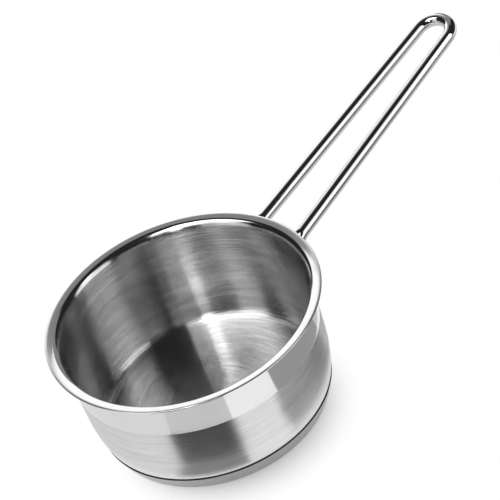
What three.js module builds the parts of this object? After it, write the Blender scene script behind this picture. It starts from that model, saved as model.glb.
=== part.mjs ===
// Small stainless steel saucepan: a drawn body with a pouring lip, a thick base closed by a
// pressed cup, and a loop handle bent from one round rod and spot welded to the wall.
// Millimetres, +Z up. The origin is on the pan's axis at the surface it stands on, and the
// handle points along +X.

import * as THREE from 'three';
import { mergeVertices } from 'three/addons/utils/BufferGeometryUtils.js';

// Body
const RIM_RADIUS = 75; // outer edge of the pouring lip
const PAN_HEIGHT = 72.5; // standing surface to the top of the lip
const BODY_SHEET = 0.8; // thickness of the drawn sheet
const LIP_FLAT = 3.4; // width of the level part of the lip
const LIP_ROUND = 3.9; // radius of the lip's upper face where it turns down into the wall
const WALL_DRAFT = 2.3; // lean of the straight wall, degrees
const BELLY_START = 31; // height where the straight wall begins to curve in
const BELLY_RADIUS = 80; // slow curve of the lower wall
const CORNER_RADIUS = 7; // outer radius between belly and bottom

// Base
const CUP_SHEET = 0.6; // thickness of the base cup
const CUP_LAP = 2.7; // how far the cup's edge climbs above the body's bottom
const CUP_ROUND = 6; // outer radius of the cup's lower corner
const CUP_INSET = 2.2; // how far the cup's flat stays inside the body's flat bottom
const BRAZE_GAP = 0.3; // gap filled with braze between core and steel
const CORE_THICKNESS = 7.4; // aluminium disc that spreads the heat
const BRAZE_MARGIN = 3; // bare strip left round the edge of each braze layer

// Handle
const ROD_DIAMETER = 7;
const HANDLE_REACH = 157; // rim to the tip of the loop, along the slope
const HANDLE_RISE = 11.25; // slope of the loop, degrees
const HANDLE_DROP = 6.8; // rod's centre line below the lip's top, at the rim
const ROOT_SPACING = 28.8; // between the rod's two runs at the rim, centre to centre
const TIP_RADIUS = 10.4; // bend at the tip, on the centre line
const LEG_BEND = 12; // bend where each run turns down, on the centre line
const FOOT_DEPTH = 35.5; // lower end of the feet below the lip's top
const FOOT_WIDTH = 9.5; // rod pressed flat against the wall
const FOOT_THICKNESS = 4;
const FOOT_SQUARENESS = 3.5; // exponent of the flattened section, 2 would be an oval
const FOOT_STANDOFF = 0.5; // gap between foot and wall, bridged by the welds

// Welds
const WELD_DIAMETER = 4.4;
const UPPER_WELD_DEPTH = 21.5; // upper weld below the lip's top
const WELD_PITCH = 9.2; // between the two welds of a foot
const WELD_SEAT = 0.1; // weld to foot, and weld to wall

// Finishes
const SATIN_STEEL = { color: 0xc6c5c2, roughness: 0.28, metalness: 1 };
const BASE_STEEL = { color: 0xb3b2af, roughness: 0.32, metalness: 1 };
const MIRROR_STEEL = { color: 0xd6d6d4, roughness: 0.06, metalness: 1 };
const PLAIN_ALUMINIUM = { color: 0xa7a9ab, roughness: 0.5, metalness: 1 };
const BRAZE_METAL = { color: 0x8d8f90, roughness: 0.6, metalness: 0.9 };
const WELD_METAL = { color: 0x9c9a96, roughness: 0.55, metalness: 1 };

// Fineness of the curves
const TURN_STEPS = 72;
const ARC_STEPS = 4;
const EDGE_STEPS = 3;
const ROD_SIDES = 20;
const BEND_STEPS = 7;
const TIP_STEPS = 9;
const TOE_STEPS = 4;
const WELD_SIDES = 16;

const RIGHT_ANGLE = Math.PI / 2;
const draft = THREE.MathUtils.degToRad(WALL_DRAFT);
const rise = THREE.MathUtils.degToRad(HANDLE_RISE);

// Section geometry, in the plane of radius and height

const at = (radius, height) => new THREE.Vector2(radius, height);

const polar = (centre, radius, angle) =>
  at(centre.x + radius * Math.cos(angle), centre.y + radius * Math.sin(angle));

// Points on an arc, both ends included.
function arc(centre, radius, from, to, steps) {
  const points = [];
  for (let i = 0; i <= steps; i += 1) {
    points.push(polar(centre, radius, from + ((to - from) * i) / steps));
  }
  return points;
}

// Angle on a circle where the line from an outside point touches it.
function touchAngle(point, centre, radius, side) {
  const away = point.clone().sub(centre);
  return away.angle() + side * Math.acos(radius / away.length());
}

// Turns a section about the pan's axis into a closed solid with +Z up.
function revolve(section) {
  const lathe = new THREE.LatheGeometry(section, TURN_STEPS);
  lathe.rotateX(RIGHT_ANGLE);
  return closed(lathe);
}

// Joins shared corners, drops the flat triangles on the axis and turns all faces outward.
function closed(geometry) {
  geometry.deleteAttribute('normal');
  geometry.deleteAttribute('uv');
  const joined = mergeVertices(geometry);
  const position = joined.getAttribute('position');
  const corner = (i) => new THREE.Vector3().fromBufferAttribute(position, i);
  const faces = [];
  let volume = 0;
  for (let i = 0; i < joined.index.count; i += 3) {
    const [a, b, c] = [0, 1, 2].map((k) => joined.index.getX(i + k));
    if (a !== b && b !== c && c !== a) {
      faces.push([a, b, c]);
      volume += corner(a).dot(corner(b).cross(corner(c)));
    }
  }
  const outward = faces.map(([a, b, c]) => (volume > 0 ? [a, b, c] : [a, c, b]));
  joined.setIndex(outward.flat());
  joined.computeVertexNormals();
  return joined;
}

function part(name, geometry, finish) {
  const mesh = new THREE.Mesh(geometry, new THREE.MeshStandardMaterial(finish));
  mesh.name = name;
  return mesh;
}

// Body: one sheet drawn into a cup. The outer face is worked out first, the inner face is the
// same set of curves moved in by the sheet's thickness.

const bottom = CUP_SHEET + BRAZE_GAP + CORE_THICKNESS + BRAZE_GAP;
const lipCentre = at(RIM_RADIUS - LIP_FLAT, PAN_HEIGHT - LIP_ROUND);
const neckAngle = Math.PI - draft;
const neck = polar(lipCentre, LIP_ROUND - BODY_SHEET, neckAngle);
const wallRadius = (height) => neck.x + Math.tan(draft) * (height - neck.y);

const bellyTop = at(wallRadius(BELLY_START), BELLY_START);
const bellyCentre = polar(bellyTop, -BELLY_RADIUS, -draft);
const cornerReach = BELLY_RADIUS - CORNER_RADIUS;
const cornerAngle = -Math.asin((bellyCentre.y - bottom - CORNER_RADIUS) / cornerReach);
const cornerCentre = polar(bellyCentre, cornerReach, cornerAngle);

const lipEdge = at(RIM_RADIUS - BODY_SHEET / 2, PAN_HEIGHT - BODY_SHEET / 2);
const bodySection = [
  at(0, bottom),
  ...arc(cornerCentre, CORNER_RADIUS, -RIGHT_ANGLE, cornerAngle, ARC_STEPS),
  ...arc(bellyCentre, BELLY_RADIUS, cornerAngle, -draft, ARC_STEPS).slice(1),
  ...arc(lipCentre, LIP_ROUND - BODY_SHEET, neckAngle, RIGHT_ANGLE, ARC_STEPS),
  ...arc(lipEdge, BODY_SHEET / 2, -RIGHT_ANGLE, RIGHT_ANGLE, EDGE_STEPS),
  ...arc(lipCentre, LIP_ROUND, RIGHT_ANGLE, neckAngle, ARC_STEPS),
  ...arc(bellyCentre, BELLY_RADIUS - BODY_SHEET, -draft, cornerAngle, ARC_STEPS),
  ...arc(cornerCentre, CORNER_RADIUS - BODY_SHEET, cornerAngle, -RIGHT_ANGLE, ARC_STEPS).slice(1),
  at(0, bottom + BODY_SHEET),
];
const panBody = part('pan_body', revolve(bodySection), SATIN_STEEL);

// Base: cup, core and the two braze layers. The cup's edge follows the body's corner at the
// braze gap, and its side runs straight down from there into the lower corner.

const flatRadius = cornerCentre.x - CUP_INSET;
const cupCentre = at(flatRadius, CUP_ROUND);
const lapRadius = CORNER_RADIUS + BRAZE_GAP;
const lapAngle = -Math.asin((CORNER_RADIUS - CUP_LAP) / lapRadius);
const cupInnerEdge = polar(cornerCentre, lapRadius, lapAngle);
const cupInnerRound = CUP_ROUND - CUP_SHEET;
const sideAngle = touchAngle(cupInnerEdge, cupCentre, cupInnerRound, -1);
const cupOuterEdge = polar(cupInnerEdge, CUP_SHEET, sideAngle);
const cupSection = [
  at(0, 0),
  ...arc(cupCentre, CUP_ROUND, -RIGHT_ANGLE, sideAngle, ARC_STEPS),
  cupOuterEdge,
  cupInnerEdge,
  ...arc(cupCentre, cupInnerRound, sideAngle, -RIGHT_ANGLE, ARC_STEPS),
  at(0, CUP_SHEET),
];
const baseCup = part('base_cup', revolve(cupSection), BASE_STEEL);

const coreRound = cupInnerRound - BRAZE_GAP;
const coreFloor = CUP_SHEET + BRAZE_GAP;
const coreTop = bottom - BRAZE_GAP;
const shoulderAngle = -Math.acos((flatRadius + coreRound - cornerCentre.x) / lapRadius);
const coreSection = [
  at(0, coreFloor),
  ...arc(cupCentre, coreRound, -RIGHT_ANGLE, 0, ARC_STEPS),
  ...arc(cornerCentre, lapRadius, shoulderAngle, -RIGHT_ANGLE, ARC_STEPS),
  at(0, coreTop),
];
const baseCore = part('base_core', revolve(coreSection), PLAIN_ALUMINIUM);

const brazeRadius = flatRadius - BRAZE_MARGIN;

function brazeLayer(name, height) {
  const section = [
    at(0, height),
    at(brazeRadius, height),
    at(brazeRadius, height + BRAZE_GAP),
    at(0, height + BRAZE_GAP),
  ];
  return part(name, revolve(section), BRAZE_METAL);
}

const base = new THREE.Group();
base.add(baseCup, baseCore, brazeLayer('braze_lower', CUP_SHEET), brazeLayer('braze_upper', coreTop));

// Handle: the loop lies in a plane that rises away from the rim. Each run keeps straight from
// the tip bend to the wall, turns down and ends in a foot that is pressed flat.

const rodRadius = ROD_DIAMETER / 2;
const along = new THREE.Vector3(Math.cos(rise), 0, Math.sin(rise));
const across = new THREE.Vector3(0, 1, 0);
const loopNormal = new THREE.Vector3().crossVectors(along, across);
const root = new THREE.Vector3(RIM_RADIUS, 0, PAN_HEIGHT - HANDLE_DROP);
const onLoop = (point) =>
  root.clone().addScaledVector(along, point.x).addScaledVector(across, point.y);

const tipCentre = at(HANDLE_REACH - rodRadius - TIP_RADIUS, 0);
const runRoot = at(0, ROOT_SPACING / 2);
const tipAngle = touchAngle(runRoot, tipCentre, TIP_RADIUS, -1);
const runStart = onLoop(runRoot);
const runEnd = onLoop(polar(tipCentre, TIP_RADIUS, tipAngle));
const outward = runEnd.clone().sub(runStart).normalize();

// Radius at which a foot's centre line stands along the leaning wall.
const footOffset = (FOOT_STANDOFF + FOOT_THICKNESS / 2) / Math.cos(draft);
const footRadius = (height) => wallRadius(height) + footOffset;

// The straight run, carried on towards the axis, meets the foot's line at the knee.
function distanceToKnee() {
  const lean = Math.tan(draft);
  const start = footRadius(runStart.z);
  const a = outward.x ** 2 + outward.y ** 2 - (lean * outward.z) ** 2;
  const b = runStart.x * outward.x + runStart.y * outward.y - start * lean * outward.z;
  const c = runStart.x ** 2 + runStart.y ** 2 - start ** 2;
  return (b - Math.sqrt(b ** 2 - a * c)) / a;
}

const knee = runStart.clone().addScaledVector(outward, -distanceToKnee());
const footBearing = Math.atan2(knee.y, knee.x);
const onFootLine = (height) =>
  new THREE.Vector3(
    footRadius(height) * Math.cos(footBearing),
    footRadius(height) * Math.sin(footBearing),
    height,
  );
const toe = onFootLine(PAN_HEIGHT - FOOT_DEPTH);
const upward = knee.clone().sub(toe).normalize();
const toWall = new THREE.Vector3(-Math.cos(footBearing), -Math.sin(footBearing), Math.tan(draft));
toWall.normalize();

// One station of the rod: where it is, which way it runs, the direction of its thickness, and
// how flat it is there, from 0 for the round rod to 1 for the pressed foot.
function station(position, direction, thickness, flat, narrowing = 1) {
  const blend = (round, pressed) => THREE.MathUtils.lerp(round, pressed, flat);
  const square = thickness.clone().addScaledVector(direction, -thickness.dot(direction)).normalize();
  return {
    position,
    direction,
    thickness: square,
    half: blend(rodRadius, FOOT_THICKNESS / 2),
    side: blend(rodRadius, FOOT_WIDTH / 2) * narrowing,
    power: 2 / blend(2, FOOT_SQUARENESS),
  };
}

function halfHandle() {
  const stations = [];
  const toeRadius = FOOT_WIDTH / 2;
  for (let i = 1; i <= TOE_STEPS; i += 1) {
    const turn = (RIGHT_ANGLE * i) / TOE_STEPS;
    const place = toe.clone().addScaledVector(upward, toeRadius * (1 - Math.cos(turn)));
    stations.push(station(place, upward, toWall, 1, Math.sin(turn)));
  }
  const turned = upward.angleTo(outward);
  const inside = outward.clone().addScaledVector(upward, -outward.dot(upward)).normalize();
  const bendStart = knee.clone().addScaledVector(upward, -LEG_BEND * Math.tan(turned / 2));
  for (let i = 0; i <= BEND_STEPS; i += 1) {
    const share = i / BEND_STEPS;
    const turn = turned * share;
    const place = bendStart
      .clone()
      .addScaledVector(upward, LEG_BEND * Math.sin(turn))
      .addScaledVector(inside, LEG_BEND * (1 - Math.cos(turn)));
    const direction = upward.clone().multiplyScalar(Math.cos(turn));
    direction.addScaledVector(inside, Math.sin(turn));
    const thickness = toWall.clone().lerp(loopNormal, share);
    stations.push(station(place, direction, thickness, 1 - share));
  }
  for (let i = 0; i <= TIP_STEPS; i += 1) {
    const angle = tipAngle * (1 - i / TIP_STEPS);
    const place = onLoop(polar(tipCentre, TIP_RADIUS, angle));
    const direction = along.clone().multiplyScalar(Math.sin(angle));
    direction.addScaledVector(across, -Math.cos(angle));
    stations.push(station(place, direction, loopNormal, 0));
  }
  return stations;
}

// The other half of the loop is the mirror image, walked the opposite way.
function mirrored(half) {
  const flip = new THREE.Vector3(1, -1, 1);
  return half
    .slice(0, -1)
    .reverse()
    .map((s) => ({
      ...s,
      position: s.position.clone().multiply(flip),
      direction: s.direction.clone().multiply(flip).negate(),
      thickness: s.thickness.clone().multiply(flip),
    }));
}

function ring(s) {
  const width = new THREE.Vector3().crossVectors(s.direction, s.thickness);
  const bulge = (value) => Math.sign(value) * Math.abs(value) ** s.power;
  const points = [];
  for (let i = 0; i < ROD_SIDES; i += 1) {
    const angle = (2 * Math.PI * i) / ROD_SIDES;
    const point = s.position.clone();
    point.addScaledVector(s.thickness, s.half * bulge(Math.cos(angle)));
    point.addScaledVector(width, s.side * bulge(Math.sin(angle)));
    points.push(point);
  }
  return points;
}

// Skin over the stations, with a flat end at each toe.
function loft(stations) {
  const points = stations.flatMap(ring);
  const faces = [];
  for (let i = 0; i + 1 < stations.length; i += 1) {
    for (let k = 0; k < ROD_SIDES; k += 1) {
      const a = i * ROD_SIDES + k;
      const b = i * ROD_SIDES + ((k + 1) % ROD_SIDES);
      faces.push(a, b, b + ROD_SIDES, a, b + ROD_SIDES, a + ROD_SIDES);
    }
  }
  const last = (stations.length - 1) * ROD_SIDES;
  const first = points.length;
  points.push(stations[0].position, stations[stations.length - 1].position);
  for (let k = 0; k < ROD_SIDES; k += 1) {
    const next = (k + 1) % ROD_SIDES;
    faces.push(first, next, k, first + 1, last + k, last + next);
  }
  const geometry = new THREE.BufferGeometry().setFromPoints(points);
  geometry.setIndex(faces);
  return closed(geometry);
}

const half = halfHandle();
const handleRod = part('handle_rod', loft([...half, ...mirrored(half)]), MIRROR_STEEL);

// Welds: a small disc of weld metal in the gap between foot and wall, two to each foot.

const weldLength = FOOT_STANDOFF - 2 * WELD_SEAT;
const weldRadius = (height) => wallRadius(height) + FOOT_STANDOFF / 2 / Math.cos(draft);

function weld(name, side, depth) {
  const geometry = new THREE.CylinderGeometry(
    WELD_DIAMETER / 2,
    WELD_DIAMETER / 2,
    weldLength,
    WELD_SIDES,
  );
  const mesh = part(name, closed(geometry), WELD_METAL);
  const height = PAN_HEIGHT - depth;
  const bearing = side * footBearing;
  mesh.position.set(
    weldRadius(height) * Math.cos(bearing),
    weldRadius(height) * Math.sin(bearing),
    height,
  );
  const face = new THREE.Vector3(toWall.x, side * toWall.y, toWall.z);
  mesh.quaternion.setFromUnitVectors(across, face);
  return mesh;
}

const lowerWeldDepth = UPPER_WELD_DEPTH + WELD_PITCH;
const handle = new THREE.Group();
handle.add(
  handleRod,
  weld('weld_left_upper', 1, UPPER_WELD_DEPTH),
  weld('weld_left_lower', 1, lowerWeldDepth),
  weld('weld_right_upper', -1, UPPER_WELD_DEPTH),
  weld('weld_right_lower', -1, lowerWeldDepth),
);

const saucepan = new THREE.Group();
saucepan.add(panBody, base, handle);

export default saucepan;
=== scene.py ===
import math

import bpy
from mathutils import Matrix, Vector


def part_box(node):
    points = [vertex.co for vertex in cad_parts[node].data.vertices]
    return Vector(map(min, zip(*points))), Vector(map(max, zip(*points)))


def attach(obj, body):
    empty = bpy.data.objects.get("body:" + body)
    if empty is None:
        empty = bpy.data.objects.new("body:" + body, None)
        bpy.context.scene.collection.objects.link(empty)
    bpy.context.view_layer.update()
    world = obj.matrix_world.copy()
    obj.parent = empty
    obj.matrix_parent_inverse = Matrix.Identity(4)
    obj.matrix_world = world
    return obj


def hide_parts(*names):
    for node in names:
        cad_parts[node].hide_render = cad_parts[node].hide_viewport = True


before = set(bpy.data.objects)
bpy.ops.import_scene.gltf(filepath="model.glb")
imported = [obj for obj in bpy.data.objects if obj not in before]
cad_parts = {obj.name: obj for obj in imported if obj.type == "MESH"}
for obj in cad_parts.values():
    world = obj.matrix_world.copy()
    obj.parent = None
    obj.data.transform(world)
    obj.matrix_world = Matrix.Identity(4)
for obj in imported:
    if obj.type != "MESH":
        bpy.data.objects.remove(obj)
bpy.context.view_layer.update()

# Pan body: one stainless steel sheet, 0.8 mm thick, deep drawn into a cup with a rolled out
# pouring lip. The inside is ground on the lathe, the outside is satin below a polished band,
# and the lip is polished. The handle's spot welds leave faint rings on the inner wall.

MM = 0.001
RIGHT_ANGLE = math.pi / 2
RIM_RADIUS = 75 * MM
PAN_HEIGHT = 72.5 * MM
BODY_SHEET = 0.8 * MM
LIP_FLAT = 3.4 * MM
LIP_ROUND = 3.9 * MM
LIP_CROWN = 18 * MM
LIP_CROWN_LEAN = math.radians(11)
WALL_DRAFT = math.radians(2.3)
BELLY_START = 31 * MM
BELLY_RADIUS = 80 * MM
CORNER_RADIUS = 7 * MM
PAN_BOTTOM = 8.6 * MM
POLISHED_BAND_FOOT = 49 * MM
POLISHED_LIP_FOOT = 71 * MM
TURN_SIDES = 288
FLAT_STEPS, WALL_STEPS, BEND_STEPS, NECK_STEPS = 12, 12, 18, 14
EDGE_STEPS, CROWN_STEPS, TURN_DOWN_STEPS = 10, 10, 28
TOUCHING = 1e-9


def polar(centre, radius, angle):
    return (centre[0] + radius * math.cos(angle), centre[1] + radius * math.sin(angle))


def arc(centre, radius, start, end, steps):
    return [polar(centre, radius, start + (end - start) * i / steps) for i in range(steps + 1)]


def straight(start, end, steps):
    """The points between two ends, without the ends."""
    return [
        tuple(a + (b - a) * i / steps for a, b in zip(start, end)) for i in range(1, steps)
    ]


def mesh_piece(name, points, faces, finishes):
    mesh = bpy.data.meshes.new(name)
    mesh.from_pydata(points, [], faces)
    for finish in finishes:
        mesh.materials.append(finish)
    piece = bpy.data.objects.new(name, mesh)
    bpy.context.scene.collection.objects.link(piece)
    return piece


def turned(name, section, finish_at, finishes):
    """Turns a section, from the axis below round to the axis above, into a closed mesh."""
    turns = [2 * math.pi * k / TURN_SIDES for k in range(TURN_SIDES)]
    points, rings = [], []
    for radius, height in section:
        if radius < TOUCHING:
            rings.append([len(points)] * TURN_SIDES)
            points.append((0, 0, height))
            continue
        rings.append(list(range(len(points), len(points) + TURN_SIDES)))
        points += [(*polar((0, 0), radius, turn), height) for turn in turns]
    faces, kinds = [], []
    for i in range(len(section) - 1):
        kind = finish_at(section[i], section[i + 1])
        for k in range(TURN_SIDES):
            n = (k + 1) % TURN_SIDES
            loop = [rings[i][k], rings[i][n], rings[i + 1][n], rings[i + 1][k]]
            faces.append(list(dict.fromkeys(loop)))
            kinds.append(kind)
    piece = mesh_piece(name, points, faces, finishes)
    piece.data.polygons.foreach_set("material_index", kinds)
    piece.data.shade_smooth()
    piece.data.update()
    return piece


def socket(group, name, kind, way, value=None):
    made = group.interface.new_socket(name=name, in_out=way, socket_type=kind)
    if value is not None:
        made.default_value = value


def wire(tree, start, end):
    tree.links.new(start, end)


def maths(tree, operation, first, second=None, third=None):
    node = tree.nodes.new("ShaderNodeMath")
    node.operation = operation
    for place, value in enumerate((first, second, third)):
        if value is None:
            continue
        if isinstance(value, (int, float)):
            node.inputs[place].default_value = value
        else:
            wire(tree, value, node.inputs[place])
    return node.outputs[0]


def vectors(tree, operation, first, second=None):
    node = tree.nodes.new("ShaderNodeVectorMath")
    node.operation = operation
    for place, value in enumerate((first, second)):
        if value is None:
            continue
        slot = node.inputs["Scale"] if operation == "SCALE" and place else node.inputs[place]
        if isinstance(value, tuple):
            slot.default_value = value
        else:
            wire(tree, value, slot)
    return node.outputs[0]


def distance(tree, place, spot):
    node = tree.nodes.new("ShaderNodeVectorMath")
    node.operation = "DISTANCE"
    wire(tree, place, node.inputs[0])
    node.inputs[1].default_value = spot
    return node.outputs["Value"]


def span(tree, value, low, high, to_low, to_high, smooth=False):
    node = tree.nodes.new("ShaderNodeMapRange")
    if smooth:
        node.interpolation_type = "SMOOTHSTEP"
    wire(tree, value, node.inputs["Value"])
    for name, number in (("From Min", low), ("From Max", high),
                         ("To Min", to_low), ("To Max", to_high)):
        node.inputs[name].default_value = number
    return node.outputs["Result"]


def object_place(tree):
    return tree.nodes.new("ShaderNodeTexCoord").outputs["Object"]


def lathe_place(tree, place):
    """A place on a turned surface as x, y, the reach from the axis and the way along it."""
    split = tree.nodes.new("ShaderNodeSeparateXYZ")
    wire(tree, place, split.inputs[0])
    x, y, z = split.outputs
    reach = maths(tree, "SQRT", maths(tree, "ADD", maths(tree, "MULTIPLY", x, x),
                                      maths(tree, "MULTIPLY", y, y)))
    return x, y, reach, maths(tree, "ADD", reach, z)


AXIS_CLEAR = 0.5 * MM
BAND_SHARE = 0.13
BAND_STRETCH = 0.3


def lathe_lines_group():
    """Fine rings left by a belt held against the turning pan, broken up along their length."""
    group = bpy.data.node_groups.new("lathe_lines", "ShaderNodeTree")
    socket(group, "Lines per metre", "NodeSocketFloat", "INPUT", 2600)
    socket(group, "Breaks per turn", "NodeSocketFloat", "INPUT", 5)
    socket(group, "Lines", "NodeSocketFloat", "OUTPUT")
    socket(group, "Bands", "NodeSocketFloat", "OUTPUT")
    given = group.nodes.new("NodeGroupInput").outputs
    result = group.nodes.new("NodeGroupOutput")
    x, y, reach, along = lathe_place(group, object_place(group))
    safe = maths(group, "MAXIMUM", reach, AXIS_CLEAR)
    breaks = given["Breaks per turn"]
    east = maths(group, "MULTIPLY", maths(group, "DIVIDE", x, safe), breaks)
    north = maths(group, "MULTIPLY", maths(group, "DIVIDE", y, safe), breaks)
    for output, share, detail in (("Lines", 1, 3), ("Bands", BAND_SHARE, 2)):
        spot = group.nodes.new("ShaderNodeCombineXYZ")
        pitch = maths(group, "MULTIPLY", given["Lines per metre"], share)
        wire(group, maths(group, "MULTIPLY", along, pitch), spot.inputs[0])
        wire(group, maths(group, "MULTIPLY", east, share ** BAND_STRETCH), spot.inputs[1])
        wire(group, maths(group, "MULTIPLY", north, share ** BAND_STRETCH), spot.inputs[2])
        noise = group.nodes.new("ShaderNodeTexNoise")
        noise.inputs["Scale"].default_value = 1
        noise.inputs["Detail"].default_value = detail
        noise.inputs["Roughness"].default_value = 0.6
        wire(group, spot.outputs[0], noise.inputs["Vector"])
        wire(group, noise.outputs["Fac"], result.inputs[output])
    return group


MARKS_FAINT, MARKS_FULL = 0.42, 0.72


def handling_group():
    """Faint cloudy marks from wiping and handling, as a mask from 0 to 1."""
    group = bpy.data.node_groups.new("handling_marks", "ShaderNodeTree")
    socket(group, "Cloud size", "NodeSocketFloat", "INPUT", 24)
    socket(group, "Marks", "NodeSocketFloat", "OUTPUT")
    given = group.nodes.new("NodeGroupInput").outputs
    result = group.nodes.new("NodeGroupOutput")
    noise = group.nodes.new("ShaderNodeTexNoise")
    noise.inputs["Detail"].default_value = 5
    noise.inputs["Roughness"].default_value = 0.65
    noise.inputs["Distortion"].default_value = 0.6
    wire(group, object_place(group), noise.inputs["Vector"])
    wire(group, given["Cloud size"], noise.inputs["Scale"])
    wire(group, span(group, noise.outputs["Fac"], MARKS_FAINT, MARKS_FULL, 0, 1, True),
         result.inputs["Marks"])
    return group


NOISE_MIDDLE = 0.5


def grain_group():
    """Close grooves round the axis: the surface leans to and fro across them, not along them."""
    group = bpy.data.node_groups.new("lathe_grain", "ShaderNodeTree")
    socket(group, "Grooves per metre", "NodeSocketFloat", "INPUT", 5000)
    socket(group, "Slope", "NodeSocketFloat", "INPUT", 1)
    socket(group, "Lean", "NodeSocketFloat", "INPUT", 0)
    socket(group, "Normal", "NodeSocketVector", "OUTPUT")
    given = group.nodes.new("NodeGroupInput").outputs
    result = group.nodes.new("NodeGroupOutput")
    place = object_place(group)
    along = lathe_place(group, place)[-1]
    grooves = group.nodes.new("ShaderNodeTexNoise")
    grooves.noise_dimensions = "1D"
    grooves.inputs["Scale"].default_value = 1
    grooves.inputs["Detail"].default_value = 2
    wire(group, maths(group, "MULTIPLY", along, given["Grooves per metre"]), grooves.inputs["W"])
    swing = maths(group, "SUBTRACT", grooves.outputs["Fac"], NOISE_MIDDLE)
    lean = maths(group, "MULTIPLY_ADD", swing, given["Slope"], given["Lean"])
    smooth = group.nodes.new("ShaderNodeNewGeometry").outputs["Normal"]
    axis = (0, 0, 1)
    round_axis = vectors(group, "NORMALIZE", vectors(group, "CROSS_PRODUCT", axis, place))
    across = vectors(group, "CROSS_PRODUCT", smooth, round_axis)
    leaning = vectors(group, "ADD", smooth, vectors(group, "SCALE", across, lean))
    wire(group, vectors(group, "NORMALIZE", leaning), result.inputs["Normal"])
    return group


lathe_lines = lathe_lines_group()
lathe_grain = grain_group()
handling_marks = handling_group()


def placed(tree, group, **values):
    node = tree.nodes.new("ShaderNodeGroup")
    node.node_tree = group
    for name, value in values.items():
        node.inputs[name.replace("_", " ")].default_value = value
    return node


def metal(name):
    material = bpy.data.materials.new(name)
    material.use_nodes = True
    shader = material.node_tree.nodes["Principled BSDF"]
    shader.inputs["Metallic"].default_value = 1
    return material, material.node_tree, shader


def grey(level):
    return (level, level, level)


def tint(tree, mask, dark, light):
    """The first colour where the mask is 0, the second where it is 1."""
    mix = tree.nodes.new("ShaderNodeMix")
    mix.data_type = "RGBA"
    mix.inputs["A"].default_value = (*dark, 1)
    mix.inputs["B"].default_value = (*light, 1)
    wire(tree, mask, mix.inputs["Factor"])
    return mix.outputs["Result"]


def relief(tree, height, depth, strength, under=None):
    bump = tree.nodes.new("ShaderNodeBump")
    bump.inputs["Strength"].default_value = strength
    bump.inputs["Distance"].default_value = depth
    wire(tree, height, bump.inputs["Height"])
    if under is not None:
        wire(tree, under, bump.inputs["Normal"])
    return bump.outputs["Normal"]


# Noise keeps near its middle, so the lines and the roughness each take a part of its range.
LINE_NOISE = (0.35, 0.65)
ROUGH_NOISE = (0.3, 0.7)
WIPE_ROUGHNESS = 0.03


def line_mask(tree, noise):
    return span(tree, noise, *LINE_NOISE, 0, 1)


def roughen(tree, shader, noise, marks, least, most, wipe=WIPE_ROUGHNESS):
    """Roughness that follows the grinding, with a little more where the steel was wiped."""
    ground = span(tree, noise, *ROUGH_NOISE, least, most)
    wire(tree, maths(tree, "MULTIPLY_ADD", marks.outputs["Marks"], wipe, ground),
         shader.inputs["Roughness"])


def streaks(tree, lines, band_share):
    return maths(tree, "MULTIPLY_ADD", lines.outputs["Bands"], band_share,
                 maths(tree, "MULTIPLY", lines.outputs["Lines"], 1 - band_share))


QUARTER_TURN = 0.25


def grain_round_axis(tree, shader, share):
    """Rings round the pan's axis spread light across themselves, so along the wall's height."""
    tangent = tree.nodes.new("ShaderNodeTangent")
    tangent.direction_type = "RADIAL"
    tangent.axis = "Z"
    wire(tree, tangent.outputs[0], shader.inputs["Tangent"])
    shader.inputs["Anisotropic"].default_value = share
    shader.inputs["Anisotropic Rotation"].default_value = QUARTER_TURN


WELDS = ("weld_left_upper", "weld_left_lower", "weld_right_upper", "weld_right_lower")
WELD_RING_START, WELD_RING_WIDTH = 0.6 * MM, 1.1 * MM
WELD_RING_EDGE = (0.2 * MM, 1 * MM)
WELD_RING_FADE = (1.9 * MM, 2.5 * MM)
WELD_RING_SHADE = 0.7
WELD_RING_DEPTH, WELD_RING_RELIEF = 0.1 * MM, 0.5


def weld_rings(tree):
    """Mask of the four faint rings that the handle's spot welds leave inside the wall."""
    place = object_place(tree)
    total = None
    for node in WELDS:
        low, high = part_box(node)
        away = distance(tree, place, (low + high) / 2)
        past_start = maths(tree, "SUBTRACT", away, WELD_RING_START)
        ring = maths(tree, "PINGPONG", past_start, WELD_RING_WIDTH)
        near = span(tree, away, *WELD_RING_FADE, 1, 0, True)
        mark = maths(tree, "MULTIPLY", span(tree, ring, *WELD_RING_EDGE, 0, 1, True), near)
        total = mark if total is None else maths(tree, "MAXIMUM", total, mark)
    return total


def ground_inside():
    material, tree, shader = metal("steel_ground_inside")
    lines = placed(tree, lathe_lines, Lines_per_metre=900, Breaks_per_turn=3)
    marks = placed(tree, handling_marks, Cloud_size=20)
    welds = weld_rings(tree)
    streak = streaks(tree, lines, band_share=0.5)
    shade = maths(tree, "SUBTRACT", line_mask(tree, streak),
                  maths(tree, "MULTIPLY", welds, WELD_RING_SHADE))
    wire(tree, tint(tree, shade, dark=grey(0.58), light=grey(0.78)),
         shader.inputs["Base Color"])
    roughen(tree, shader, streak, marks, least=0.14, most=0.17)
    grain = placed(tree, lathe_grain, Grooves_per_metre=5200, Slope=1.7)
    wire(tree, relief(tree, welds, WELD_RING_DEPTH, WELD_RING_RELIEF, grain.outputs["Normal"]),
         shader.inputs["Normal"])
    grain_round_axis(tree, shader, share=0.95)
    return material


def ground_floor():
    material, tree, shader = metal("steel_ground_floor")
    lines = placed(tree, lathe_lines, Lines_per_metre=850, Breaks_per_turn=3)
    marks = placed(tree, handling_marks, Cloud_size=28)
    streak = streaks(tree, lines, band_share=0.4)
    wire(tree, tint(tree, line_mask(tree, streak), dark=grey(0.54), light=grey(0.74)),
         shader.inputs["Base Color"])
    roughen(tree, shader, streak, marks, least=0.16, most=0.19)
    grain = placed(tree, lathe_grain, Grooves_per_metre=4600, Slope=1.3)
    wire(tree, grain.outputs["Normal"], shader.inputs["Normal"])
    grain_round_axis(tree, shader, share=0.95)
    return material


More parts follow.
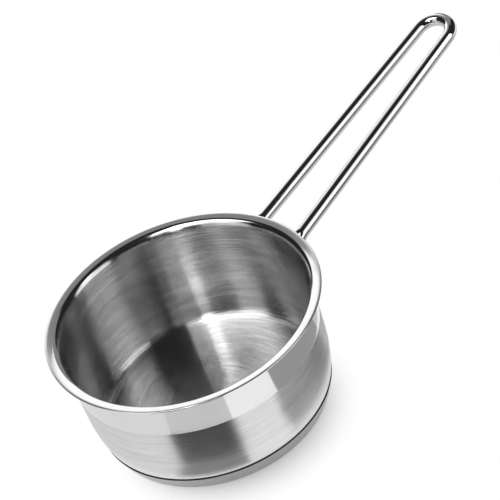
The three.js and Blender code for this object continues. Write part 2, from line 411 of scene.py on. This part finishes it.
def satin_outside():
    material, tree, shader = metal("steel_satin_outside")
    lines = placed(tree, lathe_lines, Lines_per_metre=1000, Breaks_per_turn=2.5)
    marks = placed(tree, handling_marks, Cloud_size=26)
    wire(tree, tint(tree, line_mask(tree, lines.outputs["Lines"]),
                    dark=grey(0.67), light=grey(0.8)), shader.inputs["Base Color"])
    roughen(tree, shader, lines.outputs["Bands"], marks, least=0.27, most=0.31)
    grain = placed(tree, lathe_grain, Grooves_per_metre=6000, Slope=0.1, Lean=0.36)
    wire(tree, grain.outputs["Normal"], shader.inputs["Normal"])
    grain_round_axis(tree, shader, share=0.7)
    return material


CLEAN_STEEL, WIPED_STEEL = grey(0.82), grey(0.79)


def polished_steel():
    material, tree, shader = metal("steel_polished")
    lines = placed(tree, lathe_lines, Lines_per_metre=3600, Breaks_per_turn=4)
    marks = placed(tree, handling_marks, Cloud_size=30)
    wire(tree, tint(tree, marks.outputs["Marks"], CLEAN_STEEL, WIPED_STEEL),
         shader.inputs["Base Color"])
    roughen(tree, shader, lines.outputs["Lines"], marks, least=0.07, most=0.11)
    return material


lip_centre = (RIM_RADIUS - LIP_FLAT, PAN_HEIGHT - LIP_ROUND)
neck_angle = math.pi - WALL_DRAFT
neck = polar(lip_centre, LIP_ROUND - BODY_SHEET, neck_angle)


def wall_radius(height):
    return neck[0] + math.tan(WALL_DRAFT) * (height - neck[1])


belly_top = (wall_radius(BELLY_START), BELLY_START)
belly_centre = polar(belly_top, -BELLY_RADIUS, -WALL_DRAFT)
corner_reach = BELLY_RADIUS - CORNER_RADIUS
corner_angle = -math.asin((belly_centre[1] - PAN_BOTTOM - CORNER_RADIUS) / corner_reach)
corner_centre = polar(belly_centre, corner_reach, corner_angle)
lip_edge = (RIM_RADIUS - BODY_SHEET / 2, PAN_HEIGHT - BODY_SHEET / 2)
LEAST_TURN_DOWN, MOST_TURN_DOWN = 1 * MM, 9 * MM
HALVINGS = 60


def crowned_lip():
    """Upper face of the lip: a slow crown from its edge, then the turn down into the wall."""
    crown_centre = (lip_edge[0], PAN_HEIGHT - LIP_CROWN)
    crown_end = RIGHT_ANGLE + LIP_CROWN_LEAN
    crown = arc(crown_centre, LIP_CROWN, RIGHT_ANGLE, crown_end, CROWN_STEPS)
    wall_lean = math.tan(WALL_DRAFT)
    inner_neck = polar(lip_centre, LIP_ROUND, neck_angle)
    start = crown[-1]

    # The turn touches the crown's end and the inner wall's straight line.
    def gap(radius):
        centre = polar(start, -radius, crown_end)
        end = polar(centre, radius, neck_angle)
        return end[0] - (inner_neck[0] + wall_lean * (end[1] - inner_neck[1]))

    low, high = LEAST_TURN_DOWN, MOST_TURN_DOWN
    for _ in range(HALVINGS):
        middle = (low + high) / 2
        low, high = (middle, high) if gap(middle) > 0 else (low, middle)
    turn = arc(polar(start, -low, crown_end), low, crown_end, neck_angle, TURN_DOWN_STEPS)
    return crown + turn[1:]


def at_height(points, height):
    """The points with one more put in where the line crosses a height."""
    found = []
    for before, after in zip(points, points[1:]):
        found.append(before)
        if (before[1] - height) * (after[1] - height) < 0:
            share = (height - before[1]) / (after[1] - before[1])
            found.append((before[0] + share * (after[0] - before[0]), height))
    return found + points[-1:]


outer_face = at_height(
    [(0, PAN_BOTTOM)]
    + straight((0, PAN_BOTTOM), (corner_centre[0], PAN_BOTTOM), FLAT_STEPS)
    + arc(corner_centre, CORNER_RADIUS, -RIGHT_ANGLE, corner_angle, BEND_STEPS)
    + arc(belly_centre, BELLY_RADIUS, corner_angle, -WALL_DRAFT, BEND_STEPS)[1:]
    + straight(belly_top, neck, WALL_STEPS)
    + arc(lip_centre, LIP_ROUND - BODY_SHEET, neck_angle, RIGHT_ANGLE, NECK_STEPS),
    POLISHED_BAND_FOOT,
)
edge_face = arc(lip_edge, BODY_SHEET / 2, -RIGHT_ANGLE, RIGHT_ANGLE, EDGE_STEPS)
lip_face = crowned_lip()
inner_belly = arc(belly_centre, BELLY_RADIUS - BODY_SHEET, -WALL_DRAFT, corner_angle, BEND_STEPS)
inner_corner = arc(corner_centre, CORNER_RADIUS - BODY_SHEET, corner_angle, -RIGHT_ANGLE,
                   BEND_STEPS)
inner_face = at_height(
    lip_face[1:]
    + straight(lip_face[-1], inner_belly[0], WALL_STEPS)
    + inner_belly
    + inner_corner[1:],
    POLISHED_LIP_FOOT,
)
floor_height = PAN_BOTTOM + BODY_SHEET
floor_face = straight((corner_centre[0], floor_height), (0, floor_height), FLAT_STEPS)
floor_face.append((0, floor_height))

pan_section = outer_face + edge_face + inner_face + floor_face
OUTSIDE, POLISHED, INSIDE, FLOOR = range(4)
outside_points = set(outer_face)
floor_points = set(floor_face)


def pan_finish(start, end):
    lowest = min(start[1], end[1]) + TOUCHING
    if start in outside_points and end in outside_points:
        return POLISHED if lowest >= POLISHED_BAND_FOOT else OUTSIDE
    if end in floor_points:
        return FLOOR
    if lowest >= POLISHED_LIP_FOOT or start in outside_points:
        return POLISHED
    return INSIDE


pan = turned("drawn_pan_body", pan_section, pan_finish,
             [satin_outside(), polished_steel(), ground_inside(), ground_floor()])
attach(pan, "root")
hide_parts("pan_body")

# Heat spreading disc: a rolled aluminium disc under the pan's bottom, which evens out the heat.
# It is brazed on both faces and shut in by the base cup.


def dull_metal(name, dark, light, rough, grain):
    rough_swing, pit_depth, pit_strength = 0.06, 0.1 * MM, 0.3
    material, tree, shader = metal(name)
    marks = placed(tree, handling_marks, Cloud_size=grain).outputs["Marks"]
    wire(tree, tint(tree, marks, dark, light), shader.inputs["Base Color"])
    wire(tree, span(tree, marks, 0, 1, rough - rough_swing, rough + rough_swing),
         shader.inputs["Roughness"])
    wire(tree, relief(tree, marks, pit_depth, pit_strength), shader.inputs["Normal"])
    return material


def finish_node(node, material):
    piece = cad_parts[node]
    piece.data.materials.clear()
    piece.data.materials.append(material)


rolled_aluminium = dull_metal("aluminium_rolled", dark=(0.62, 0.63, 0.64),
                              light=(0.7, 0.71, 0.72), rough=0.45, grain=60)
finish_node("base_core", rolled_aluminium)

# Braze layers: thin sheets of metal filler, one below and one above the disc. They melt when the
# base is pressed on hot, and join the base cup, the disc and the pan.

braze_filler = dull_metal("braze_filler", dark=(0.44, 0.45, 0.46),
                          light=(0.54, 0.55, 0.56), rough=0.6, grain=140)
finish_node("braze_lower", braze_filler)
finish_node("braze_upper", braze_filler)

# Base cup: a shallow cup of 0.6 mm stainless sheet, pressed over the disc and brazed on. Its
# trimmed edge stands a little off the pan's corner, which shows as a dark groove all round; the
# edge in it carries painted shade.

CUP_SHEET = 0.6 * MM
CUP_LAP = 2.7 * MM
CUP_ROUND = 6 * MM
CUP_INSET = 2.2 * MM
BRAZE_GAP = 0.3 * MM
CUP_EDGE_ROUND = 0.18 * MM
CUP_EDGE_STEPS, CUP_SIDE_STEPS, CUP_LINING_STEPS, CUP_INNER_FLAT_STEPS = 6, 6, 4, 6


def touch_angle(point, centre, radius, side):
    """Where on a circle, as an angle, a line from a point touches it."""
    away = (point[0] - centre[0], point[1] - centre[1])
    return math.atan2(away[1], away[0]) + side * math.acos(radius / math.hypot(*away))


cup_flat = corner_centre[0] - CUP_INSET
cup_centre = (cup_flat, CUP_ROUND)
lap_radius = CORNER_RADIUS + BRAZE_GAP
lap_angle = -math.asin((CORNER_RADIUS - CUP_LAP) / lap_radius)
cup_inner_edge = polar(corner_centre, lap_radius, lap_angle)
cup_inner_round = CUP_ROUND - CUP_SHEET
side_angle = touch_angle(cup_inner_edge, cup_centre, cup_inner_round, -1)
cup_outer_edge = polar(cup_inner_edge, CUP_SHEET, side_angle)


def cup_edge():
    """The trimmed edge of the cup, its two corners broken."""
    down = (math.sin(side_angle), -math.cos(side_angle))
    out = (math.cos(side_angle), math.sin(side_angle))
    top_angle = side_angle + RIGHT_ANGLE

    def inset(corner, side):
        return tuple(c + CUP_EDGE_ROUND * (d + side * o) for c, d, o in zip(corner, down, out))

    outer = arc(inset(cup_outer_edge, -1), CUP_EDGE_ROUND, side_angle, top_angle, CUP_EDGE_STEPS)
    inner = arc(inset(cup_inner_edge, 1), CUP_EDGE_ROUND, top_angle, side_angle + math.pi,
                CUP_EDGE_STEPS)
    return outer + inner


cup_outside = arc(cup_centre, CUP_ROUND, -RIGHT_ANGLE, side_angle, BEND_STEPS)
cup_inside = arc(cup_centre, cup_inner_round, side_angle, -RIGHT_ANGLE, BEND_STEPS)
cup_rim = cup_edge()
cup_section = (
    [(0, 0)]
    + straight((0, 0), (cup_flat, 0), FLAT_STEPS)
    + cup_outside
    + straight(cup_outside[-1], cup_rim[0], CUP_SIDE_STEPS)
    + cup_rim
    + straight(cup_rim[-1], cup_inside[0], CUP_LINING_STEPS)
    + cup_inside
    + straight((cup_flat, CUP_SHEET), (0, CUP_SHEET), CUP_INNER_FLAT_STEPS)
    + [(0, CUP_SHEET)]
)
CUP_DARK, CUP_LIGHT = 0.38, 0.46

# Painted shade: where the cup's surface faces up, as on its trimmed edge in the groove, its colour
# goes almost black.
EDGE_FACES_UP = (0.3, 0.6)
EDGE_SHADE = 0.12


def base_steel():
    material, tree, shader = metal("steel_base_cup")
    lines = placed(tree, lathe_lines, Lines_per_metre=2600, Breaks_per_turn=7)
    marks = placed(tree, handling_marks, Cloud_size=34)
    # Painted shade: faces pointing up, the trimmed edge in the groove, are darkened almost to
    # black.
    split = tree.nodes.new("ShaderNodeSeparateXYZ")
    wire(tree, tree.nodes.new("ShaderNodeNewGeometry").outputs["Normal"], split.inputs[0])
    painted_groove_shade = span(tree, split.outputs["Z"], *EDGE_FACES_UP, 1, EDGE_SHADE, True)
    shade = maths(tree, "MULTIPLY", painted_groove_shade,
                  span(tree, lines.outputs["Lines"], *LINE_NOISE, CUP_DARK, CUP_LIGHT))
    wire(tree, tint(tree, shade, grey(0), grey(1)), shader.inputs["Base Color"])
    roughen(tree, shader, lines.outputs["Bands"], marks, least=0.26, most=0.33, wipe=0.05)
    grain = placed(tree, lathe_grain, Grooves_per_metre=6000, Slope=0.6)
    wire(tree, grain.outputs["Normal"], shader.inputs["Normal"])
    grain_round_axis(tree, shader, share=0.8)
    return material


cup = turned("pressed_base_cup", cup_section, lambda start, end: 0, [base_steel()])
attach(cup, "root")
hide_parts("base_cup")

# Handle: one 7 mm stainless rod bent into a long narrow loop and mirror polished. Each run
# turns down behind the lip and ends in a foot that is pressed flat against the wall.

ROD_RADIUS = 3.5 * MM
HANDLE_REACH = 157 * MM
HANDLE_RISE = math.radians(11.25)
HANDLE_DROP = 6.8 * MM
ROOT_SPACING = 28.8 * MM
TIP_RADIUS = 10.4 * MM
LEG_BEND = 12 * MM
FOOT_DEPTH = 35.5 * MM
FOOT_WIDTH = 9.5 * MM
FOOT_THICKNESS = 4 * MM
FOOT_SQUARENESS = 3.5
ROD_SQUARENESS = 2
FOOT_STANDOFF = 0.5 * MM
ROD_SIDES = 56
TOE_STEPS, LEG_STEPS, RUN_STEPS, TIP_STEPS = 14, 28, 12, 40

along = Vector((math.cos(HANDLE_RISE), 0, math.sin(HANDLE_RISE)))
across = Vector((0, 1, 0))
loop_normal = along.cross(across)
rod_root = Vector((RIM_RADIUS, 0, PAN_HEIGHT - HANDLE_DROP))


def on_loop(point):
    return rod_root + along * point[0] + across * point[1]


tip_centre = (HANDLE_REACH - ROD_RADIUS - TIP_RADIUS, 0)
run_root = (0, ROOT_SPACING / 2)
tip_angle = touch_angle(run_root, tip_centre, TIP_RADIUS, -1)
run_start = on_loop(run_root)
run_end = on_loop(polar(tip_centre, TIP_RADIUS, tip_angle))
outward = (run_end - run_start).normalized()
foot_offset = (FOOT_STANDOFF + FOOT_THICKNESS / 2) / math.cos(WALL_DRAFT)


def foot_radius(height):
    return wall_radius(height) + foot_offset


def distance_to_knee():
    """How far back along the run its line meets the cone that the feet lie on."""
    lean = math.tan(WALL_DRAFT)
    start = foot_radius(run_start.z)
    a = outward.x ** 2 + outward.y ** 2 - (lean * outward.z) ** 2
    b = run_start.x * outward.x + run_start.y * outward.y - start * lean * outward.z
    c = run_start.x ** 2 + run_start.y ** 2 - start ** 2
    return (b - math.sqrt(b ** 2 - a * c)) / a


knee = run_start - outward * distance_to_knee()
foot_bearing = math.atan2(knee.y, knee.x)
toe_height = PAN_HEIGHT - FOOT_DEPTH
toe = Vector((*polar((0, 0), foot_radius(toe_height), foot_bearing), toe_height))
upward = (knee - toe).normalized()
to_wall = Vector((-math.cos(foot_bearing), -math.sin(foot_bearing), math.tan(WALL_DRAFT)))
to_wall.normalize()


def station(position, direction, thickness, flat, narrowing=1.0):
    """One cross section of the rod, from round, where flat is 0, to pressed, where it is 1."""
    def blend(round_value, pressed):
        return round_value + (pressed - round_value) * flat

    square = (thickness - direction * thickness.dot(direction)).normalized()
    return (position, direction, square, blend(ROD_RADIUS, FOOT_THICKNESS / 2),
            blend(ROD_RADIUS, FOOT_WIDTH / 2) * narrowing,
            2 / blend(ROD_SQUARENESS, FOOT_SQUARENESS))


def half_handle():
    """Cross sections from one toe up the foot, round the bend, along the run and to the tip."""
    stations = []
    for i in range(1, TOE_STEPS + 1):
        turn = RIGHT_ANGLE * i / TOE_STEPS
        place = toe + upward * (FOOT_WIDTH / 2 * (1 - math.cos(turn)))
        stations.append(station(place, upward, to_wall, 1, math.sin(turn)))
    turned_by = upward.angle(outward)
    inside = (outward - upward * outward.dot(upward)).normalized()
    bend_start = knee - upward * (LEG_BEND * math.tan(turned_by / 2))
    for i in range(LEG_STEPS + 1):
        share = i / LEG_STEPS
        turn = turned_by * share
        place = (bend_start + upward * (LEG_BEND * math.sin(turn))
                 + inside * (LEG_BEND * (1 - math.cos(turn))))
        direction = upward * math.cos(turn) + inside * math.sin(turn)
        stations.append(station(place, direction, to_wall.lerp(loop_normal, share), 1 - share))
    bend_end = stations[-1][0]
    for i in range(1, RUN_STEPS):
        place = bend_end.lerp(run_end, i / RUN_STEPS)
        stations.append(station(place, outward, loop_normal, 0))
    for i in range(TIP_STEPS + 1):
        angle = tip_angle * (1 - i / TIP_STEPS)
        place = on_loop(polar(tip_centre, TIP_RADIUS, angle))
        direction = along * math.sin(angle) - across * math.cos(angle)
        stations.append(station(place, direction, loop_normal, 0))
    return stations


def mirrored(half):
    """The other run, from the tip back to its toe."""
    flip = Matrix.Diagonal((1, -1, 1))
    return [(flip @ p, -(flip @ d), flip @ t, *sizes) for p, d, t, *sizes in reversed(half[:-1])]


def rod_ring(place, direction, thickness, half_height, half_width, power):
    width = direction.cross(thickness)

    def bulge(value):
        return math.copysign(abs(value) ** power, value)

    turns = [2 * math.pi * k / ROD_SIDES for k in range(ROD_SIDES)]
    return [place + thickness * (half_height * bulge(math.cos(t)))
            + width * (half_width * bulge(math.sin(t))) for t in turns]


def bent_rod(name, stations, finish):
    """Joins the cross sections into one closed rod with a face at each toe."""
    points = [p for s in stations for p in rod_ring(*s)]
    faces = []
    for i in range(len(stations) - 1):
        for k in range(ROD_SIDES):
            a, b = i * ROD_SIDES + k, i * ROD_SIDES + (k + 1) % ROD_SIDES
            faces.append((a, a + ROD_SIDES, b + ROD_SIDES, b))
    last = (len(stations) - 1) * ROD_SIDES
    faces.append(list(range(ROD_SIDES)))
    faces.append([last + k for k in reversed(range(ROD_SIDES))])
    piece = mesh_piece(name, points, faces, [finish])
    piece.data.shade_smooth()
    piece.data.update()
    return piece


CLEAN_ROD, WIPED_ROD = grey(0.84), grey(0.8)
DRAWN_LINES = (25, 900, 900)


def mirror_rod():
    """Mirror polish over faint lines from drawing the rod, which run along the handle."""
    material, tree, shader = metal("steel_mirror_rod")
    marks = placed(tree, handling_marks, Cloud_size=40)
    stretch = tree.nodes.new("ShaderNodeMapping")
    stretch.inputs["Scale"].default_value = DRAWN_LINES
    wire(tree, object_place(tree), stretch.inputs["Vector"])
    drawn = tree.nodes.new("ShaderNodeTexNoise")
    drawn.inputs["Scale"].default_value = 1
    drawn.inputs["Detail"].default_value = 2
    wire(tree, stretch.outputs[0], drawn.inputs["Vector"])
    wire(tree, tint(tree, marks.outputs["Marks"], CLEAN_ROD, WIPED_ROD),
         shader.inputs["Base Color"])
    roughen(tree, shader, drawn.outputs["Fac"], marks, least=0.03, most=0.07)
    return material


half = half_handle()
rod = bent_rod("bent_handle_rod", half + mirrored(half), mirror_rod())
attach(rod, "root")
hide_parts("handle_rod")

# Spot welds: two fused spots join each foot to the wall. They sit in the narrow gap behind the
# feet and keep the dull grey of heated steel.

spot_weld = dull_metal("steel_spot_weld", dark=(0.34, 0.33, 0.32),
                       light=(0.46, 0.45, 0.43), rough=0.5, grain=300)
for weld in WELDS:
    finish_node(weld, spot_weld)

# Table and studio: a pale floor, one soft lamp from behind on the left, and cards round, above
# and low beside the pan, which only its metal sees, like softboxes and dark screens. The cards
# lying on the floor are painted reflections of lighter and darker floor. Angles are turned from
# the camera, right is positive.

VIEW_AZIMUTH = math.radians(-32.0)
CARD_STEP = 4
FLOOR_LIFT = 0.002

toward_camera = Vector((math.sin(VIEW_AZIMUTH), -math.cos(VIEW_AZIMUTH), 0))
camera_right = Vector((math.cos(VIEW_AZIMUTH), math.sin(VIEW_AZIMUTH), 0))


def studio_point(degrees, reach, height):
    turn = math.radians(degrees)
    spot = toward_camera * math.cos(turn) + camera_right * math.sin(turn)
    return spot * reach + Vector((0, 0, height))


def glow(name, strength):
    material = bpy.data.materials.new(name)
    material.use_nodes = True
    tree = material.node_tree
    tree.nodes.clear()
    light = tree.nodes.new("ShaderNodeEmission")
    light.inputs["Strength"].default_value = strength
    wire(tree, light.outputs[0], tree.nodes.new("ShaderNodeOutputMaterial").inputs["Surface"])
    return material


def card(name, start, end, low, high, reach, strength, top_reach=None):
    """A curved card round the pan, between two angles and two heights."""
    steps = max(2, int(abs(end - start) / CARD_STEP))
    points = []
    for i in range(steps + 1):
        turn = start + (end - start) * i / steps
        points.append(studio_point(turn, reach, low))
        points.append(studio_point(turn, top_reach or reach, high))
    faces = [(2 * i, 2 * i + 2, 2 * i + 3, 2 * i + 1) for i in range(steps)]
    piece = mesh_piece(name, points, faces, [glow(name, strength)])
    piece.visible_camera = False
    piece.visible_diffuse = False
    piece.visible_shadow = False


# Name, first and last angle, low and high edge, reach from the axis, strength, and the upper
# edge's reach where it differs.
for row in (
    ("ceiling_dark", -180, 180, 1.3, 1.3, 1.2, 0.02, 0.001),
    ("overhead_softbox", -118, -25, 1.05, 1.05, 0.75, 2.7, 0.12),
    ("overhead_grey", -25, 2, 1.05, 1.05, 0.75, 1.6, 0.12),
    ("overhead_strip", -37, -26, 1.04, 1.04, 0.78, 4.0, 0.12),
    ("left_softbox", -86, -42, 0.14, 0.52, 0.75, 0.7),
    ("left_softbox_top", -88, -60, 0.52, 1.05, 0.76, 1.0),
    ("front_strip", -28, -17, 0.6, 1.04, 0.77, 4.3),
    ("right_softbox", 42, 84, 0.12, 0.6, 0.75, 1.5),
    ("right_softbox_top", 52, 70, 0.6, 1.05, 0.76, 0.9),
    ("right_strip", 70, 86, 0.6, 1.05, 0.76, 1.7),
    ("right_dark", 77, 136, 0.0, 1.3, 0.9, 0.02),
    ("left_back_dark", -160, -100, 0.0, 1.3, 0.9, 0.02),
    ("camera_dark", -100, 77, 0.0, 1.3, 0.92, 0.015),
    ("back_panel", 160, 200, 0.0, 0.8, 0.9, 1.2),
    ("back_panel_top", 160, 200, 0.8, 1.25, 0.9, 0.25, 0.75),
    ("back_right_panel", 136, 160, 0.0, 1.1, 0.9, 0.25),
    ("front_low_dark", -40, 4, 0.0, 0.1, 0.2, 0.01),
    ("front_low_right", 6, 37, 0.0, 0.1, 0.2, 1.0),
    ("left_low", -165, -40, 0.0, 0.1, 0.22, 0.85),
    # Painted reflection: these cards lie just above the floor, are seen only by the metal, and
    # show it grey and dark patches of floor that the floor itself does not have.
    ("front_floor_near", -40, 4, FLOOR_LIFT, FLOOR_LIFT, 0.085, 0.05, 0.11),
    ("front_floor_grey", -37, 4, FLOOR_LIFT, FLOOR_LIFT, 0.11, 0.66, 0.14),
    ("front_floor_dark", -40, 4, FLOOR_LIFT, FLOOR_LIFT, 0.14, 0.03, 0.2),
    ("left_floor_grey", -165, -37, FLOOR_LIFT, FLOOR_LIFT, 0.09, 0.8, 0.22),
    ("right_floor_grey", 38, 96, FLOOR_LIFT, FLOOR_LIFT, 0.1, 0.34, 0.2),
    ("right_floor_dark", 39, 100, FLOOR_LIFT, FLOOR_LIFT, 0.2, 0.12, 0.55),
    ("handle_floor_grey", 96, 170, FLOOR_LIFT, FLOOR_LIFT, 0.1, 0.6, 0.4),
):
    card(*row)

FLOOR_SIZE = 12
PAPER_GREY = 0.95
FLOOR_GLOW = 0.3
SHADOW_CENTRE = studio_point(18, 16 * MM, 0)
SHADOW_START, SHADOW_END = 42 * MM, 70 * MM


def pale_floor():
    """Pale paper that takes the shadow round the pan's base, with a faint glow; further out it
    glows plain white, which hides any shadow there.
    """
    material = bpy.data.materials.new("pale_floor")
    material.use_nodes = True
    tree = material.node_tree
    tree.nodes.clear()
    paper = tree.nodes.new("ShaderNodeBsdfDiffuse")
    paper.inputs["Color"].default_value = (*grey(PAPER_GREY), 1)
    light = tree.nodes.new("ShaderNodeEmission")
    mix = tree.nodes.new("ShaderNodeMixShader")
    away = distance(tree, object_place(tree), SHADOW_CENTRE)
    wire(tree, span(tree, away, SHADOW_START, SHADOW_END, FLOOR_GLOW, 1, True), mix.inputs[0])
    wire(tree, paper.outputs[0], mix.inputs[1])
    wire(tree, light.outputs[0], mix.inputs[2])
    wire(tree, mix.outputs[0], tree.nodes.new("ShaderNodeOutputMaterial").inputs["Surface"])
    return material


edge = FLOOR_SIZE / 2
floor_corners = [(-edge, -edge, 0), (edge, -edge, 0), (edge, edge, 0), (-edge, edge, 0)]
floor = mesh_piece("floor", floor_corners, [(0, 1, 2, 3)], [pale_floor()])

KEY_ANGLE, KEY_REACH, KEY_HEIGHT = -155, 0.35, 1.0
KEY_WIDTH = math.radians(60)
KEY_ENERGY = 1.0
AMBIENT = 0.8

key = bpy.data.lights.new("soft_key", "SUN")
key.angle = KEY_WIDTH
key.energy = KEY_ENERGY
lamp = bpy.data.objects.new("soft_key", key)
lamp.location = studio_point(KEY_ANGLE, KEY_REACH, KEY_HEIGHT)
lamp.rotation_mode = "QUATERNION"
lamp.rotation_quaternion = lamp.location.to_track_quat("Z", "Y")
lamp.visible_glossy = False
lamp.visible_camera = False
bpy.context.scene.collection.objects.link(lamp)


def studio_world():
    """Even light on dull surfaces, and plain white where the camera or the metal sees past."""
    world = bpy.data.worlds.new("studio")
    world.use_nodes = True
    tree = world.node_tree
    tree.nodes.clear()
    path = tree.nodes.new("ShaderNodeLightPath")
    seen = maths(tree, "MAXIMUM", path.outputs["Is Camera Ray"],
                 maths(tree, "MAXIMUM", path.outputs["Is Glossy Ray"],
                       path.outputs["Is Transmission Ray"]))
    ambient = tree.nodes.new("ShaderNodeBackground")
    ambient.inputs["Strength"].default_value = AMBIENT
    white = tree.nodes.new("ShaderNodeBackground")
    for background in (ambient, white):
        background.inputs["Color"].default_value = (*grey(1), 1)
    mix = tree.nodes.new("ShaderNodeMixShader")
    wire(tree, seen, mix.inputs[0])
    wire(tree, ambient.outputs[0], mix.inputs[1])
    wire(tree, white.outputs[0], mix.inputs[2])
    wire(tree, mix.outputs[0], tree.nodes.new("ShaderNodeOutputWorld").inputs["Surface"])
    return world


bpy.context.scene.world = studio_world()
bpy.context.scene.view_settings.view_transform = "Standard"

# Camera: a long lens from above, on the side away from the handle, rolled so that the handle runs
# up to the right. It looks past the rim's centre, which is left of and below the picture's middle.

VIEW_ELEVATION = math.radians(39.22)
VIEW_ROLL = math.radians(21.89)
VIEW_DISTANCE = 1.6
PICTURE_WIDTH = 500
FOCAL_PIXELS = 3082.1
AIM_RIGHT, AIM_UP = -68.0, -59.5
SENSOR_WIDTH = 36
CLIP_NEAR, CLIP_FAR = 0.05, 50

back = toward_camera * math.cos(VIEW_ELEVATION) + Vector((0, 0, math.sin(VIEW_ELEVATION)))
up = back.cross(camera_right)
level = Matrix((camera_right, up, back))
roll = Matrix.Rotation(VIEW_ROLL, 3, "Z")
aim = Vector((AIM_RIGHT, AIM_UP, -FOCAL_PIXELS)).normalized()
swing = Vector((0, 0, -1)).rotation_difference(aim).to_matrix()
lens = bpy.data.cameras.new("camera")
lens.sensor_width = SENSOR_WIDTH
lens.lens = FOCAL_PIXELS / PICTURE_WIDTH * SENSOR_WIDTH
lens.clip_start, lens.clip_end = CLIP_NEAR, CLIP_FAR
camera = bpy.data.objects.new("camera", lens)
rim_centre = Vector((0, 0, PAN_HEIGHT))
facing = (swing @ roll @ level).transposed().to_4x4()
camera.matrix_world = Matrix.Translation(rim_centre + back * VIEW_DISTANCE) @ facing
bpy.context.scene.collection.objects.link(camera)
bpy.context.scene.camera = camera
